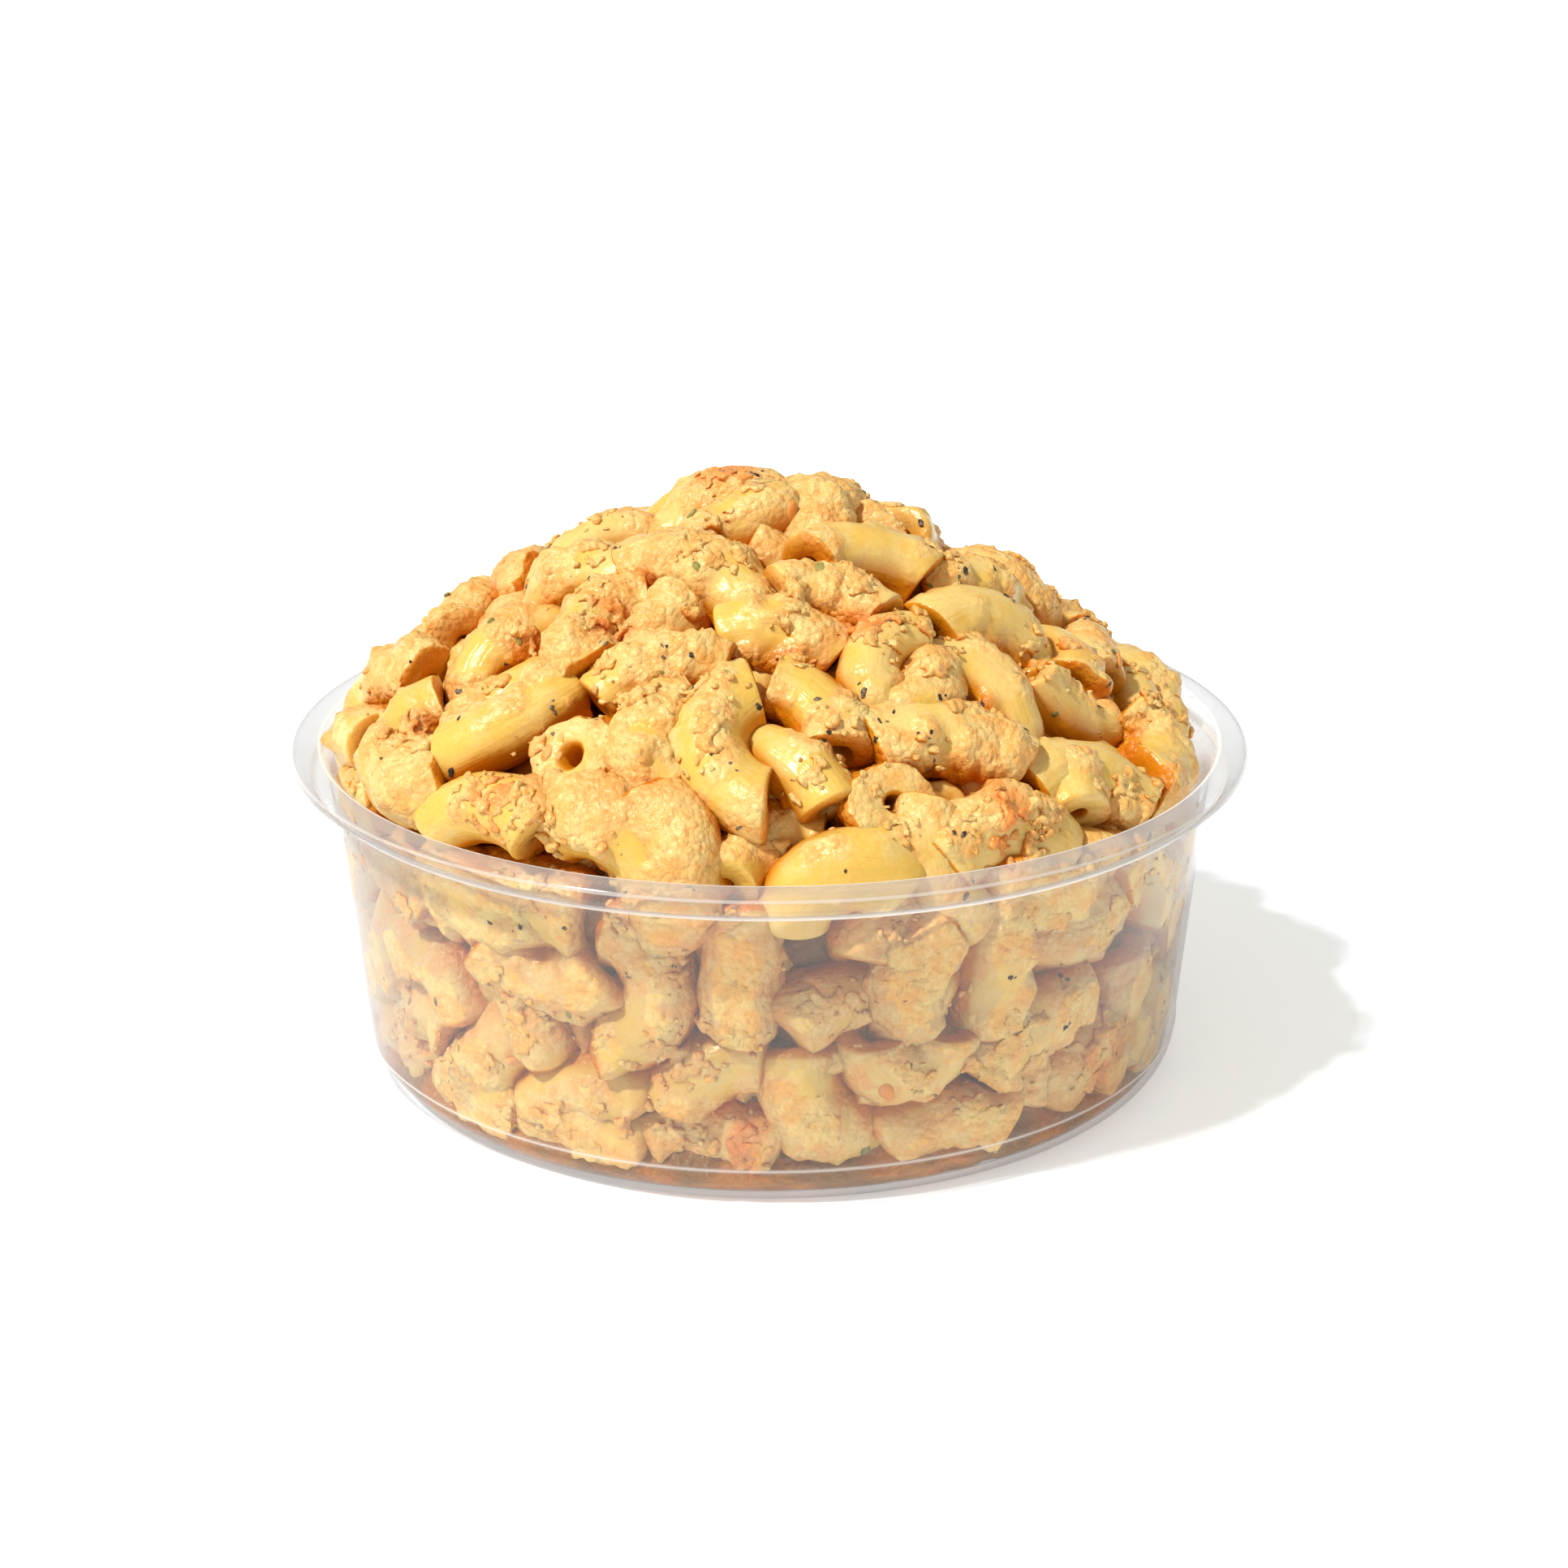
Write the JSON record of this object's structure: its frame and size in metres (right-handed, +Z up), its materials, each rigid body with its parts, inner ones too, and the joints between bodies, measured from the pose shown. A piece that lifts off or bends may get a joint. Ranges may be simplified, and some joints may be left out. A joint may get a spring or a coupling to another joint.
{
  "type": "tub of macaroni salad",
  "caption": "Round clear plastic deli tub without a lid, heaped above its rim with creamy elbow-macaroni salad with flecks of carrot and pepper.",
  "frame": {"origin": "on the table, under the middle of the tub", "axes": "+Z up along the tub's axis, -Y towards the picture's viewer, +X to the viewer's right"},
  "size_m": [0.117, 0.117, 0.0717],
  "materials": {
    "tub_plastic": "hazy clear polypropylene",
    "macaroni": "moist creamy pasta, softly glossy",
    "dressing": "crumbly, creamy",
    "carrot": "moist shredded carrot",
    "herb": "moist chopped green pepper",
    "pepper": "ground black pepper"
  },
  "bodies": {
    "root": {"tub": "tub_plastic", "macaroni_salad": "macaroni"}
  },
  "joints": []
}
